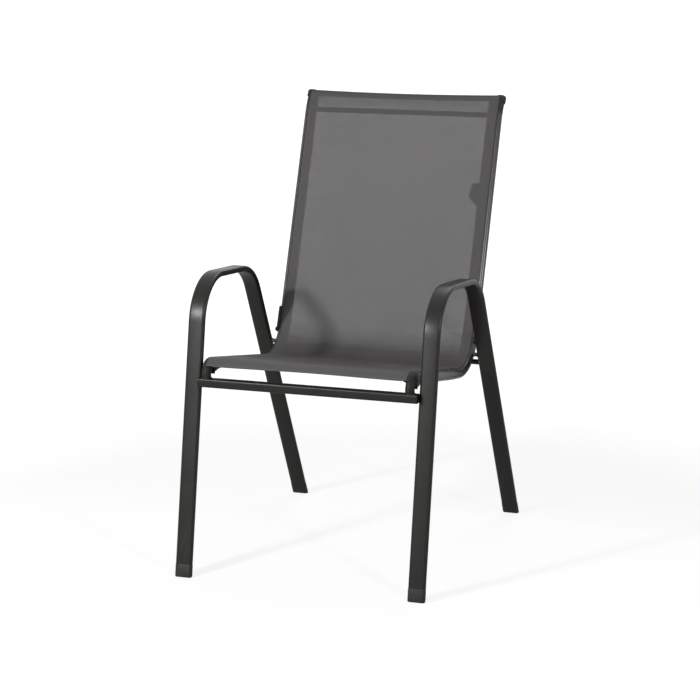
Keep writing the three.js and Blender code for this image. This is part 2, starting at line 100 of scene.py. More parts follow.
# %% White world that the camera and the gloss see at full white
WORLD_FILL = 0.05  # its strength as a light
world = bpy.data.worlds.new("studio_world")
scene.world = world
world.use_nodes = True
tree = world.node_tree
tree.nodes.clear()
ray = tree.nodes.new("ShaderNodeLightPath").outputs
background = tree.nodes.new("ShaderNodeBackground")
world_out = tree.nodes.new("ShaderNodeOutputWorld")
seen_or_through = maths(tree, "MAXIMUM", ray["Is Camera Ray"], ray["Is Transmission Ray"])
seen = maths(tree, "MAXIMUM", seen_or_through, ray["Is Glossy Ray"])
put(tree, ranged(tree, seen, 0.0, 1.0, WORLD_FILL, 1.0), background.inputs["Strength"])
put(tree, (1.0, 1.0, 1.0, 1.0), background.inputs["Color"])
put(tree, background.outputs[0], world_out.inputs[0])
print("world light", WORLD_FILL)

# %% Pale floor that keeps a faint shadow near the chair and glows white further out
FLOOR_HALF, FLOOR_GREY, FLOOR_GLOW, FLOOR_IN_GLOSS = 40, 0.6, 1.22, 0.45
floor_mesh = bpy.data.meshes.new("floor")
floor_mesh.from_pydata([(x * FLOOR_HALF, y * FLOOR_HALF, 0) for x, y in ((-1, -1), (1, -1), (1, 1), (-1, 1))],
                       [], [(0, 1, 2, 3)])
floor = bpy.data.objects.new("floor", floor_mesh)
floor.location.z = -0.0005
scene.collection.objects.link(floor)
floor_paint = bpy.data.materials.new("studio_floor")
floor_paint.use_nodes = True
tree = floor_paint.node_tree
tree.nodes.clear()
diffuse = tree.nodes.new("ShaderNodeBsdfDiffuse")
glow = tree.nodes.new("ShaderNodeEmission")
ray = tree.nodes.new("ShaderNodeLightPath").outputs
place = tree.nodes.new("ShaderNodeTexCoord").outputs["Object"]
from_middle = tree.nodes.new("ShaderNodeVectorMath")
from_middle.operation = "LENGTH"
mix = tree.nodes.new("ShaderNodeMixShader")
floor_out = tree.nodes.new("ShaderNodeOutputMaterial")
put(tree, (FLOOR_GREY, FLOOR_GREY, FLOOR_GREY, 1.0), diffuse.inputs["Color"])
put(tree, FLOOR_GLOW, glow.inputs["Strength"])
put(tree, place, from_middle.inputs[0])
glow_share = ranged(tree, from_middle.outputs["Value"], 0.9, 2.4, 0.7, 1.0)
mirrored = maths(tree, "MULTIPLY", ray["Is Glossy Ray"], FLOOR_IN_GLOSS)
seen = maths(tree, "MAXIMUM", ray["Is Camera Ray"], mirrored)
put(tree, maths(tree, "MULTIPLY", seen, glow_share), mix.inputs[0])
put(tree, diffuse.outputs[0], mix.inputs[1])
put(tree, glow.outputs[0], mix.inputs[2])
put(tree, mix.outputs[0], floor_out.inputs[0])
floor_mesh.materials.append(floor_paint)
print("floor", 2 * FLOOR_HALF, "m wide")


# %% Soft boxes
def soft_box(name, place, aim, size, power):
    """A square area lamp at a place, facing a point."""
    lamp = bpy.data.lights.new(name, "AREA")
    lamp.size, lamp.energy = size, power
    holder = bpy.data.objects.new(name, lamp)
    holder.location = place
    holder.rotation_euler = (Vector(aim) - Vector(place)).to_track_quat("-Z", "Y").to_euler()
    scene.collection.objects.link(holder)


soft_box("key_box", (-1.2, -2.4, 1.66), (0, 0, 0.5), 0.22, 62)  # the arm's shadow, the bends' highlights
soft_box("front_box", (-1.55, -4.6, 1.75), (0, 0, 0.5), 0.7, 39)  # the broad front light
soft_box("top_box", (0.2, 0.6, 3.0), (0, 0, 0.4), 2.0, 5)  # from above
soft_box("right_strip", (2.15, -1.95, 1.9), (0.1, 0.1, 0.6), 0.2, 22)  # the bright line on the right rail
soft_box("side_box", (2.8, 0.0, 1.0), (0, 0, 0.5), 0.3, 13)  # from the right
soft_box("rear_fill", (0.3, 3.0, 3.8), (0, 0, 0.5), 2.4, 50)  # from behind

# %% [markdown]
# ## Helpers: a bent middle line, and a ring carried along it
# A tube bender turns a straight tube into runs and bends that all lie in one plane. So every bent tube
# starts as a line in the side plane: straight runs, and arcs about a centre one radius to the side. The
# tube's surface is then a ring of points carried along that line. A curve object with a bevel would give
# the tubes too, but the sheet, the pads and the seams follow the same lines, so all are worked out with the
# same few formulas.


# %% A middle line from runs and bends
BEND_STEP = 2.5  # degrees


def bent_line(y, z, lean, moves, step=0.004):
    """Rows of (y, z, lean, length so far) along a bent tube's middle line in the side plane.

    A run goes on by its length times (sine, cosine) of the lean. A bend turns the lean evenly about a centre
    that lies one radius to the side, so its points are that centre plus the radius at each lean. Angles are
    given in degrees, and the rows hold radians.
    """
    rows = [np.array([[y, z, np.radians(lean), 0.0]])]
    for size, *turn in moves:
        y, z, lean, far = rows[-1][-1]
        if not turn:
            t = np.linspace(0, 1, max(int(size / step), 1) + 1)[1:, None]
            new = [y + size * t * np.sin(lean), z + size * t * np.cos(lean), lean + 0 * t, far + size * t]
        else:
            angle = np.radians(turn[0])
            side = np.sign(angle)
            t = np.linspace(0, 1, max(int(abs(turn[0]) / BEND_STEP), 2) + 1)[1:, None]
            leans = lean + angle * t
            mid_y, mid_z = y + side * size * np.cos(lean), z - side * size * np.sin(lean)
            new = [mid_y - side * size * np.cos(leans), mid_z + side * size * np.sin(leans), leans,
                   far + abs(angle) * size * t]
        rows.append(np.concatenate(new, axis=1))
    return np.concatenate(rows)


def line_at(line, far):
    """y, z and lean of a middle line at given lengths along it, read between its rows."""
    return tuple(np.interp(far, line[:, 3], line[:, k]) for k in range(3))


def carried(line, far, across, up, x=0.0):
    """Points `across` along +X and `up` towards the line's sitting side, at lengths `far` along it."""
    y, z, lean = line_at(line, far)
    return np.stack(np.broadcast_arrays(x + across, y - up * np.cos(lean), z + up * np.sin(lean)), axis=-1)


print("rows in a quarter bend", len(bent_line(0, 0, 0, [(0.1, 90)])))


# %% A mesh object from a grid of points
def quads_of(ids, closed_ring):
    """Rows of four ids: the quads between neighbouring rows and columns of a grid of ids."""
    after = np.roll(ids, -1, axis=1) if closed_ring else ids[:, 1:]
    here = ids if closed_ring else ids[:, :-1]
    return np.stack([here[:-1], after[:-1], after[1:], here[1:]], axis=-1).reshape(-1, 4)


def surface(name, grid, material, slot, replaces=(), closed_ring=True, ends=True, uv=None, sharp=40):
    """A smooth mesh from an (n, m, 3) grid, whose neighbouring rows are joined by quads.

    With `closed_ring` each row is a ring, and with `ends` the first and last ring are filled. A closed shape
    gets its normals recalculated outwards.
    """
    n, m = grid.shape[:2]
    ids = np.arange(n * m).reshape(n, m)
    faces = quads_of(ids, closed_ring).tolist() + ([ids[0][::-1].tolist(), ids[-1].tolist()] if ends else [])
    mesh = bpy.data.meshes.new(name)
    mesh.from_pydata(grid.reshape(-1, 3).tolist(), [], faces)
    return finish_piece(name, mesh, material, slot, replaces, closed_ring and ends, uv, sharp)


def finish_piece(name, mesh, material, slot, replaces, closed, uv, sharp):
    """Gives a mesh its UVs from an (n, m, 2) grid, smooth shading, material and riding body; `slot` is not
    used.

    Edges that bend by more than `sharp` degrees stay crisp.
    """
    if uv is not None:
        corner = np.empty(len(mesh.loops), np.int32)
        mesh.loops.foreach_get("vertex_index", corner)
        layer = mesh.uv_layers.new(name="cloth")
        layer.data.foreach_set("uv", uv.reshape(-1, 2)[corner].astype(np.float32).ravel())
    if closed:
        shape = bmesh.new()
        shape.from_mesh(mesh)
        bmesh.ops.recalc_face_normals(shape, faces=shape.faces)
        shape.to_mesh(mesh)
        shape.free()
    mesh.shade_smooth()
    mesh.set_sharp_from_angle(angle=np.radians(sharp))
    mesh.materials.append(material)
    piece = bpy.data.objects.new(name, mesh)
    scene.collection.objects.link(piece)
    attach(piece, "root")
    if replaces:
        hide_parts(*replaces)
    return piece


print("surface helpers", [helper.__name__ for helper in (quads_of, surface, finish_piece)])


# %% Ring shapes
def circle(radius, points=32):
    """(across, up) of a circle's points: the radius times the cosine and the sine of the turn."""
    turn = np.linspace(0, 2 * np.pi, points, endpoint=False)
    return radius * np.cos(turn), radius * np.sin(turn)


def flat_oval(width, depth, points=14):
    """(across, up) of a flat oval: two half circles of the depth's half, as far apart as the width leaves."""
    turn = np.linspace(-np.pi / 2, np.pi / 2, points)
    across = np.concatenate([(width - depth) / 2 + depth / 2 * np.cos(turn),
                             -(width - depth) / 2 - depth / 2 * np.cos(turn)])
    up = np.concatenate([depth / 2 * np.sin(turn), -depth / 2 * np.sin(turn)])
    return across, up


SIDES = {"right": 1.0, "left": -1.0}  # as the photograph shows them
print("points in a flat oval", len(flat_oval(3.0, 1.0)[0]))

# %% [markdown]
# ## Finishes
# The frame is steel with a charcoal powder coat. Powder melts into a film with a fine orange-peel grain and
# a satin gloss, slightly uneven from place to place, and it scuffs paler where a chair is dragged and
# handled. The sheet is woven from plastic-coated yarn with small holes between the yarns, so light from
# behind shows through one layer and hardly through two. Feet, caps and pads are moulded plastic. Scanned
# pictures could carry the weave and the grain. Formulas are used instead, because they stay sharp from any
# distance and follow the cloth in real metres. Each effect is a node group with named inputs, so that
# finishes can share it with their own values.


# %% Helper for node groups
def new_group(name, inputs, outputs):
    """A shader node group with named sockets (a number, four numbers for a colour, or the word "vector").

    Gives the group, the sockets that hold what it is given, and the sockets that take what it makes.
    """
    group = bpy.data.node_groups.new(name, "ShaderNodeTree")
    for way, sockets in (("INPUT", inputs), ("OUTPUT", outputs)):
        for label, value in sockets.items():
            kind = "NodeSocketFloat"
            if value == "vector":
                kind = "NodeSocketVector"
            elif isinstance(value, tuple):
                kind = "NodeSocketColor"
            socket = group.interface.new_socket(name=label, in_out=way, socket_type=kind)
            if way == "INPUT" and value != "vector":
                socket.default_value = value
    return group, group.nodes.new("NodeGroupInput").outputs, group.nodes.new("NodeGroupOutput").inputs


print("group helper", new_group.__name__)


# %% Helpers for texture, scale, mix and split nodes
def noise(tree, vector, scale, detail=2.0):
    """Noise value between 0 and 1 at a scale per metre, which may be a socket."""
    node = tree.nodes.new("ShaderNodeTexNoise")
    put(tree, detail, node.inputs["Detail"])
    put(tree, vector, node.inputs["Vector"])
    put(tree, scale, node.inputs["Scale"])
    return node.outputs["Fac"]


def scaled(tree, vector, factor):
    """A vector or a colour times one factor."""
    node = tree.nodes.new("ShaderNodeVectorMath")
    node.operation = "SCALE"
    put(tree, vector, node.inputs[0])
    put(tree, factor, node.inputs["Scale"])
    return node.outputs[0]


def mixed(tree, share, a, b):
    """A colour mix; a and b are sockets or colours."""
    node = tree.nodes.new("ShaderNodeMix")
    node.data_type = "RGBA"  # its inputs 6 and 7 are then the two colours
    for socket, value in ((node.inputs["Factor"], share), (node.inputs[6], a), (node.inputs[7], b)):
        put(tree, value, socket)
    return node.outputs[2]


def split_axes(tree, vector):
    """The three parts of a vector."""
    node = tree.nodes.new("ShaderNodeSeparateXYZ")
    put(tree, vector, node.inputs[0])
    return node.outputs


print("node helpers", [helper.__name__ for helper in (noise, scaled, mixed, split_axes)])

# %% Effect: grain of a coated or moulded surface, with scuffs near the floor
BARE_GREY = (0.22, 0.22, 0.22, 1.0)  # where the surface is rubbed
RUBBED_PAST = 0.86  # sum of the two noises above which a spot is rubbed
coat_group, given, made = new_group(
    "coated_surface",
    {"Vector": "vector", "Colour": (0.04, 0.04, 0.042, 1.0), "Grain": 700.0, "Mottle": 0.12, "Scuff": 0.2,
     "Gloss": 0.4, "Scuff height": 0.12},
    {"Colour": (0.0, 0.0, 0.0, 1.0), "Roughness": 0.5, "Height": 0.0},
)
coat = partial(maths, coat_group)  # coat("ADD", a, b) is one Math node in this group
cloudy = coat("SUBTRACT", noise(coat_group, given["Vector"], 17.0, detail=4.0), 0.5)  # about -0.5 to 0.5
streak = coat_group.nodes.new("ShaderNodeMapping")
put(coat_group, (1.0, 1.0, 0.12), streak.inputs["Scale"])  # rubbing runs up and down
put(coat_group, given["Vector"], streak.inputs["Vector"])
rubbed = noise(coat_group, streak.outputs[0], 230.0, detail=5.0)
patch = noise(coat_group, given["Vector"], 9.0, detail=2.0)
above_floor = split_axes(coat_group, given["Vector"])["Z"]
near_floor = ranged(coat_group, above_floor, 0.0, given["Scuff height"], 1.0, 0.0)
worn = coat("GREATER_THAN", coat("ADD", rubbed, coat("MULTIPLY", patch, 0.35)), RUBBED_PAST)
rub_mask = coat("MULTIPLY", worn, coat("MULTIPLY", given["Scuff"], near_floor))
tinted = scaled(coat_group, given["Colour"], coat("ADD", 1.0, coat("MULTIPLY", cloudy, given["Mottle"])))
put(coat_group, mixed(coat_group, rub_mask, tinted, BARE_GREY), made["Colour"])
put(coat_group, coat("ADD", given["Gloss"], coat("MULTIPLY", cloudy, 0.16)), made["Roughness"])
put(coat_group, noise(coat_group, given["Vector"], given["Grain"], detail=3.0), made["Height"])
print("group", coat_group.name)

# %% Effect: plain weave of coated yarns with open corners
weave_group, given, made = new_group(
    "woven_yarn",
    {"Vector": "vector", "Colour": (0.08, 0.08, 0.08, 1.0), "Yarns per metre": 900.0, "Opening": 0.6,
     "Uneven": 0.15, "Gloss": 0.5},
    {"Colour": (0.0, 0.0, 0.0, 1.0), "Height": 0.0, "Cover": 1.0, "Roughness": 0.5},
)
weave = partial(maths, weave_group)
yarn_place = split_axes(weave_group, scaled(weave_group, given["Vector"], given["Yarns per metre"]))


def yarn(axis):
    """For one direction: 0 at the gap and 1 at the yarn's crest, and the yarn's own number."""
    number = weave("FLOOR", yarn_place[axis])
    inside = weave("SUBTRACT", yarn_place[axis], number)
    return weave("SINE", weave("MULTIPLY", inside, np.pi)), number


warp, warp_number = yarn(0)
weft, weft_number = yarn(1)
half_parity = weave("MULTIPLY", weave("PINGPONG", weave("ADD", warp_number, weft_number), 1.0), 0.5)
over_warp = weave("MULTIPLY", warp, weave("ADD", half_parity, 0.5))
over_weft = weave("MULTIPLY", weft, weave("SUBTRACT", 1.0, half_parity))
height = weave("MAXIMUM", over_warp, over_weft)
put(weave_group, height, made["Height"])
put(weave_group, weave("GREATER_THAN", weave("MAXIMUM", warp, weft), given["Opening"]), made["Cover"])
print("group", weave_group.name, "takes", [socket.name for socket in given if socket.name])

# %% Effect, continued: each stretch of a warp yarn has its own tone, and the gaps between the crests get painted shade
own_shade = weave_group.nodes.new("ShaderNodeTexWhiteNoise")
own_shade.noise_dimensions = "2D"
yarn_numbers = weave_group.nodes.new("ShaderNodeCombineXYZ")
put(weave_group, warp_number, yarn_numbers.inputs[0])
put(weave_group, weave("FLOOR", weave("MULTIPLY", weft_number, 0.08)), yarn_numbers.inputs[1])
put(weave_group, yarn_numbers.outputs[0], own_shade.inputs["Vector"])
broad = noise(weave_group, given["Vector"], 11.0, detail=3.0)
both_shades = weave("ADD", weave("MULTIPLY", own_shade.outputs["Value"], 0.6), broad)
unevenness = weave("MULTIPLY", given["Uneven"], weave("SUBTRACT", both_shades, 0.8))
# painted shade: the colour darkens from each yarn's crest down into the gaps beside it
painted_gap_shade = weave("ADD", 0.72, weave("MULTIPLY", height, 0.4))
# the yarn's own tone times the painted shade of the gaps
tone_and_painted_shade = weave("MULTIPLY", painted_gap_shade, weave("ADD", 1.0, unevenness))
put(weave_group, scaled(weave_group, given["Colour"], tone_and_painted_shade), made["Colour"])
put(weave_group, weave("ADD", given["Gloss"], weave("MULTIPLY", broad, 0.12)), made["Roughness"])
print("group", weave_group.name, "makes", [socket.name for socket in made if socket.name])


# %% Helpers that make a material from an effect
def dressed(name, group, values, specular, relief):
    """A Principled material fed by one effect; gives the material, its effect node and its tree."""
    material = bpy.data.materials.new(name)
    material.use_nodes = True
    tree = material.node_tree
    shader = tree.nodes["Principled BSDF"]
    put(tree, specular, shader.inputs["Specular IOR Level"])
    effect = tree.nodes.new("ShaderNodeGroup")
    effect.node_tree = group
    for label, value in values.items():
        put(tree, value, effect.inputs[label])
    for label, socket in {"Colour": "Base Color", "Roughness": "Roughness", "Cover": "Alpha"}.items():
        if label in effect.outputs:
            put(tree, effect.outputs[label], shader.inputs[socket])
    bump = tree.nodes.new("ShaderNodeBump")
    put(tree, relief, bump.inputs["Distance"])
    put(tree, effect.outputs["Height"], bump.inputs["Height"])
    put(tree, bump.outputs["Normal"], shader.inputs["Normal"])
    return material, effect, tree


def coated(name, colour, grain, gloss, scuff, relief=0.00006, specular=0.5):
    """A coated or moulded finish on Object coordinates."""
    values = {"Colour": (*colour, 1.0), "Grain": grain, "Gloss": gloss, "Scuff": scuff}
    material, effect, tree = dressed(name, coat_group, values, specular, relief)
    put(tree, tree.nodes.new("ShaderNodeTexCoord").outputs["Object"], effect.inputs["Vector"])
    return material


def woven(name, colour, opening, specular=0.35, relief=0.0002):
    """The sheet's finish on its own UV map, with see-through gaps between the yarns.

    On the seat, up to 0.33 m along the rail, the gaps are tighter. From 0.37 m on, where the bend has begun,
    they are wider, and they widen slightly more up the back.
    """
    material, effect, tree = dressed(name, weave_group, {"Colour": (*colour, 1.0)}, specular, relief)
    uv_map = tree.nodes.new("ShaderNodeUVMap")
    uv_map.uv_map = "cloth"
    along = split_axes(tree, uv_map.outputs[0])["Y"]
    bend_share = ranged(tree, along, 0.33, 0.37, 0.7, 1.0)
    back_opening = ranged(tree, along, 0.37, 0.95, 0.92 * opening, 1.015 * opening)
    put(tree, maths(tree, "MULTIPLY", bend_share, back_opening), effect.inputs["Opening"])
    put(tree, uv_map.outputs[0], effect.inputs["Vector"])
    return material


print("finish helpers", [helper.__name__ for helper in (dressed, coated, woven)])

# %% The chair's materials
powder_coat = coated("charcoal_powder_coat", (0.0115, 0.0108, 0.0096), 1500.0, 0.33, 0.12, 0.000015, 0.24)
rail_coat = coated("charcoal_rail_coat", (0.0128, 0.0122, 0.0110), 1500.0, 0.55, 0.05, 0.00003, 0.16)
cap_plastic = coated("charcoal_cap_plastic", (0.0128, 0.0122, 0.0112), 900.0, 0.48, 0.15, specular=0.27)
sleeve_cover = coated("charcoal_sleeve_cover", (0.0230, 0.0210, 0.0195), 900.0, 0.26, 0.02, 0.000005, 0.6)
pad_plastic = coated("black_pad_plastic", (0.006, 0.006, 0.0065), 900.0, 0.55, 0.1, specular=0.25)
sling_weave = woven("grey_sling_weave", (0.0645, 0.0601, 0.0618), 0.487)
thread = coated("grey_sewing_thread", (0.11, 0.107, 0.11), 2400.0, 0.6, 0.0)
# near-black thread: painted shade along the sleeve's crease
crease_shade_thread = coated("thread_with_painted_crease_shade", (0.009, 0.009, 0.0095), 2400.0, 0.6, 0.0)
tag_tape = coated("grey_tag_tape", (0.085, 0.083, 0.086), 1500.0, 0.7, 0.0)
print("materials", [m.name for m in bpy.data.materials])

# %% [markdown]
# ## Side frames
# Each side is one flat-oval tube: front leg, arm and rear leg without a joint. A ring carried along the
# bent line gives its true rounded edges, which a solid with few faces can't. The two sides open slightly to
# the rear.

# %% Side frames
FRONT_FEET = -0.34368  # y of their middle
FRONT_LEAN, FRONT_TURN, REAR_TURN = 9.76, 84.42, 57.13  # degrees
REAR_LEAN = FRONT_LEAN + FRONT_TURN + REAR_TURN - 180
TUBE_WIDTH, TUBE_DEPTH = 0.036, 0.0122
FRONT_LEG, FRONT_RADIUS, ARM, REAR_RADIUS, REAR_LEG = 0.5215, 0.0985, 0.1173, 0.106, 0.6066
FRAME_X, TOE_OUT = 0.2486, 0.335  # half the distance between the sides at the front feet; degrees
frame_line = bent_line(FRONT_FEET, 0.0, FRONT_LEAN, [
    (FRONT_LEG,), (FRONT_RADIUS, FRONT_TURN), (ARM,), (REAR_RADIUS, REAR_TURN), (REAR_LEG,)])
FRAME_END = frame_line[-1, 3]
outside_caps = (frame_line[:, 3] > 0.007) & (frame_line[:, 3] < FRAME_END - 0.01)
frame_far = frame_line[outside_caps, 3]


def frame_x(side, y):
    """The x of a side frame's middle, which lies a little further out towards the rear."""
    return side * (FRAME_X + (y - FRONT_FEET) * np.tan(np.radians(TOE_OUT)))


for word, side in SIDES.items():
    across, up = flat_oval(TUBE_WIDTH, TUBE_DEPTH)
    y = line_at(frame_line, frame_far)[0][:, None]
    grid = carried(frame_line, frame_far[:, None], across, up, frame_x(side, y))
    surface(f"{word}_frame_tube", grid, powder_coat, "frame_paint", [f"{word}_side_frame"])
print("frame tube", len(frame_far), "rings, length", round(FRAME_END, 4))

# %% [markdown]
# ## Foot caps
# A plastic cap is pushed over each leg end. Its sole is level with the floor although the leg leans, and
# its rim is square to the leg. A tube that is simply cut off level would have sharp edges and no rim, so the
# cap is built ring by ring: the lower rings are level cuts through the leaning tube, the upper ones square.

# %% Foot caps
CAP_WIDTH, CAP_DEPTH = 0.0368, 0.0130
# Rings from the sole up as (height, inset), and then round the rim as (length past it, inset)
SOLE_RINGS = [(0.0, 0.0034), (0.0, 0.0016), (0.0002, 0.0010), (0.0007, 0.0005), (0.0018, 0.0001),
              (0.0028, 0.0)]
RIM_RINGS = [(-0.0008, 0.0), (-0.0003, 0.0001), (0.0, 0.0002), (-0.0001, 0.0004), (-0.004, 0.0005)]
feet = {"front": (FRONT_FEET, FRONT_LEAN, 0.0253),
        "rear": (line_at(frame_line, FRAME_END)[0], REAR_LEAN, 0.0284)}  # y, degrees, length up to the rim
for word, side in SIDES.items():
    for which, (foot_y, degrees, rim) in feet.items():
        x0, lean, rings = frame_x(side, foot_y), np.radians(degrees), []
        for height, inset in SOLE_RINGS:
            across, up = flat_oval(CAP_WIDTH - 2 * inset, CAP_DEPTH - 2 * inset)
            level_y = foot_y + np.tan(lean) * height - up / np.cos(lean)
            rings.append([x0 + across, level_y, 0 * across + height])
        for past_rim, inset in RIM_RINGS:
            across, up = flat_oval(CAP_WIDTH - 2 * inset, CAP_DEPTH - 2 * inset)
            along = rim + past_rim
            rings.append([x0 + across, foot_y + np.sin(lean) * along - up * np.cos(lean),
                          np.cos(lean) * along + up * np.sin(lean)])
        surface(f"{word}_{which}_foot", np.moveaxis(np.array(rings), 1, 2), cap_plastic, "cap_plastic",
                [f"{word}_{which}_foot_cap"])
print("foot caps", len(SIDES) * len(feet))

# %% [markdown]
# ## Sling rails and their plugs
# A round rail stands on the front cross tube, bends back at the seat's front edge, runs under the sheet,
# bends up behind the seat and leans slightly further back near its top, where a domed plug closes it. The
# rail is made like the side frames. The plug is a ring whose radius changes with its height and, for the
# lip that hangs over the tube's outer side, also with the direction, which a turned shape couldn't follow.

# %% Rails
RAIL_X, RAIL_RADIUS = 0.2155, 0.0095
NOSE_RISE, NOSE_RADIUS, NOSE_TURN = 0.0051, 0.023, 99.9
SEAT_LINE, HEEL_RADIUS, RECLINE = 0.3876, 0.096, 20.56
BACK_LINE, TOP_RADIUS, TOP_TURN, TOP_RUN = 0.6018, 0.120, 12.0, 0.025
POST_FOOT = (-0.28918, 0.4053)  # (y, z) where a rail stands on the front cross tube
HEEL_TURN = NOSE_TURN - RECLINE
HEEL_TANGENT = HEEL_RADIUS * np.tan(np.radians(HEEL_TURN / 2))
TOP_BEND = TOP_RADIUS * np.radians(TOP_TURN)  # its length
rail_line = bent_line(*POST_FOOT, 0.0, [
    (NOSE_RISE,), (NOSE_RADIUS, NOSE_TURN), (SEAT_LINE - HEEL_TANGENT,), (HEEL_RADIUS, -HEEL_TURN),
    (BACK_LINE - HEEL_TANGENT - TOP_BEND - TOP_RUN,), (TOP_RADIUS, TOP_TURN), (TOP_RUN,)])
NOSE_END = NOSE_RISE + NOSE_RADIUS * np.radians(NOSE_TURN)
HEEL_START = NOSE_END + SEAT_LINE - HEEL_TANGENT
HEEL_END = HEEL_START + HEEL_RADIUS * np.radians(HEEL_TURN)
RAIL_END = rail_line[-1, 3]
for word, side in SIDES.items():
    across, up = circle(RAIL_RADIUS)
    grid = carried(rail_line, rail_line[:, 3, None], across, up, side * RAIL_X)
    surface(f"{word}_rail_tube", grid, rail_coat, "frame_paint", [f"{word}_sling_rail"])
print("rail length", round(RAIL_END, 4))

# %% Domed plugs, each with a lip that is deepest towards the chair's outer rear
PLUG_RADIUS, LIP_TURN = 0.0098, np.radians(28)
y, z, lean = line_at(rail_line, RAIL_END)
dome = np.radians(np.linspace(0, 86, 9))[:, None]
turn = np.linspace(0, 2 * np.pi, 48, endpoint=False)
flat = 0 * turn
for word, side in SIDES.items():
    outwards = np.cos(turn + side * LIP_TURN - (0 if side > 0 else np.pi))
    lip = 0.02 + 0.98 * np.clip((outwards + 0.2) / 0.7, 0, 1)
    rim, inner = PLUG_RADIUS + 0.0031 * lip, PLUG_RADIUS + 0.0014 * lip
    # Rings from the stem in the tube, out and down inside the lip, up its outside and over the dome
    reach = np.concatenate([[flat + 0.006, flat + 0.0082, inner, inner, rim - 0.0004, rim, rim],
                            rim * np.cos(dome) ** 0.55])
    height = np.concatenate([[flat - 0.006, flat + 0.0005, flat + 0.0005, -0.0088 * lip, -0.0092 * lip,
                              -0.0086 * lip, flat + 0.001],
                             0.0026 + 0.0041 * np.sin(dome) ** 0.9 + flat])
    across, up = reach * np.cos(turn), reach * np.sin(turn)
    grid = np.stack([side * RAIL_X + across, y + height * np.sin(lean) - up * np.cos(lean),
                     z + height * np.cos(lean) + up * np.sin(lean)], axis=-1)
    surface(f"{word}_rail_plug", grid, cap_plastic, "cap_plastic", [f"{word}_rail_cap"], sharp=50)
print("plug height above the rail", round(float(height.max()), 4))

# %% [markdown]
# ## Cross tubes, stubs and welds
# A box tube with rounded corners joins the front legs under the seat, a thin round tube joins the rear
# legs, a spreader keeps the rails apart at the top, and a short stub ties each rail to its rear leg. All
# are welded, so small rippled beads of weld go round the rails' feet and the outer ends of the front tube,
# the stubs and the spreader. The bars are straight, so a ring repeated along X is all they need. Blender's
# ready-made torus has no ripples, so each bead is a small circle carried round a larger one.


# %% Straight bars along X
def bar_along_x(name, x, centre, ring, replaces):
    """A ring of (y, z) offsets from a (y, z) centre, carried along the places x."""
    grid = np.stack(np.broadcast_arrays(x[:, None], centre[0] + ring[0], centre[1] + ring[1]), axis=-1)
    return surface(name, grid, powder_coat, "frame_paint", replaces)


def rounded_box_ring(width, height, corner, points=6):
    """A rectangle with round corners: each corner's quarter circle about its own centre."""
    turn = np.linspace(0, np.pi / 2, points)
    quarter = np.concatenate([turn + k * np.pi / 2 for k in range(4)])
    sign_x = np.repeat([1, -1, -1, 1], points)
    sign_y = np.repeat([1, 1, -1, -1], points)
    return (sign_x * (width / 2 - corner) + corner * np.cos(quarter),
            sign_y * (height / 2 - corner) + corner * np.sin(quarter))


FRONT_BAR, REAR_BAR = (-0.28856, 0.396), (0.14256, 0.3835)  # (y, z) of each middle line
SPREADER, STUB = (0.3210, 0.8920), (0.1215, 0.4037)
STUB_INNER, STUB_OUTER = 0.2235, 0.2362  # x of its ends
for name, half_length, centre, ring, node in (
        ("front_bar", 0.2322, FRONT_BAR, rounded_box_ring(0.020, 0.018, 0.0032), "front_cross_tube"),
        ("rear_bar", 0.2375, REAR_BAR, circle(0.0058), "rear_cross_tube"),
        ("spreader_bar", 0.2075, SPREADER, circle(0.0054), "top_spreader_bar")):
    bar_along_x(name, np.linspace(-half_length, half_length, 9), centre, ring, [node])
for word, side in SIDES.items():
    bar_along_x(f"{word}_stub_bar", side * np.linspace(STUB_INNER, STUB_OUTER, 3), STUB, circle(0.0043),
                [f"{word}_link_stub"])
print("bars", 3 + len(SIDES))


# %% Weld beads
def weld_bead(name, centre, axis, radius, thick=0.0014, degrees=360):
    """A rippled ring of weld: a small circle carried round a larger one, thicker and thinner in turn.

    It goes about `axis`, one of the three main directions. A whole ring is closed round, and a shorter one is
    filled at its ends.
    """
    whole = degrees == 360
    axis = np.array(axis, float)
    first = np.cross(axis, [0, 0, 1] if abs(axis[2]) < 0.9 else [0, 1, 0])
    second = np.cross(axis, first)
    turn = np.radians(np.linspace(0, degrees, degrees // 6, endpoint=not whole))[:, None, None]
    small = np.linspace(0, 2 * np.pi, 8, endpoint=False)[None, :, None]
    out = np.cos(turn) * first + np.sin(turn) * second
    swell = thick * (1 + 0.16 * np.sin(turn * 14))
    grid = np.array(centre) + out * (radius + swell * np.cos(small)) + axis * swell * np.sin(small)
    return surface(name, np.concatenate([grid, grid[:1]]) if whole else grid, powder_coat, "frame_paint",
                   ends=not whole, sharp=60)


STUB_WELD_X, SPREADER_WELD_X = 0.2338, 0.2078
beads = []
for word, side in SIDES.items():
    post = (side * RAIL_X, POST_FOOT[0], POST_FOOT[1] + 0.0001)
    beads.append(weld_bead(f"{word}_post_weld", post, (0, 0, 1), 0.0096))
    bar_end = (frame_x(side, FRONT_BAR[0]) - side * 0.0172, FRONT_BAR[0] + 0.0085, FRONT_BAR[1])
    beads.append(weld_bead(f"{word}_bar_weld", bar_end, (0, 1, 0), 0.0088, 0.0012, 180))
    beads.append(weld_bead(f"{word}_stub_weld", (side * STUB_WELD_X, *STUB), (1, 0, 0), 0.0046, 0.0009))
    spreader_end = (side * SPREADER_WELD_X, *SPREADER)
    beads.append(weld_bead(f"{word}_spreader_weld", spreader_end, (1, 0, 0), 0.0053, 0.0009))
print("welds", len(beads))

# %% [markdown]
# ## The sling
# One cut of woven cloth makes seat and back. Each long edge wraps round its rail, comes back underneath and
# is sewn down, which gives the sleeve and the darker double strip inside it. The sheet hangs a little
# between the rails. A cloth simulation would give the same tight form with less control, so the cloth is
# computed: a cross profile of the wrap, carried along the rail's line, with its sag, its front corners cut
# back and its ends dipped. The photograph shows each sleeve's outer side smooth and dark, so the faces
# that wrap the rail have a smooth material of their own.

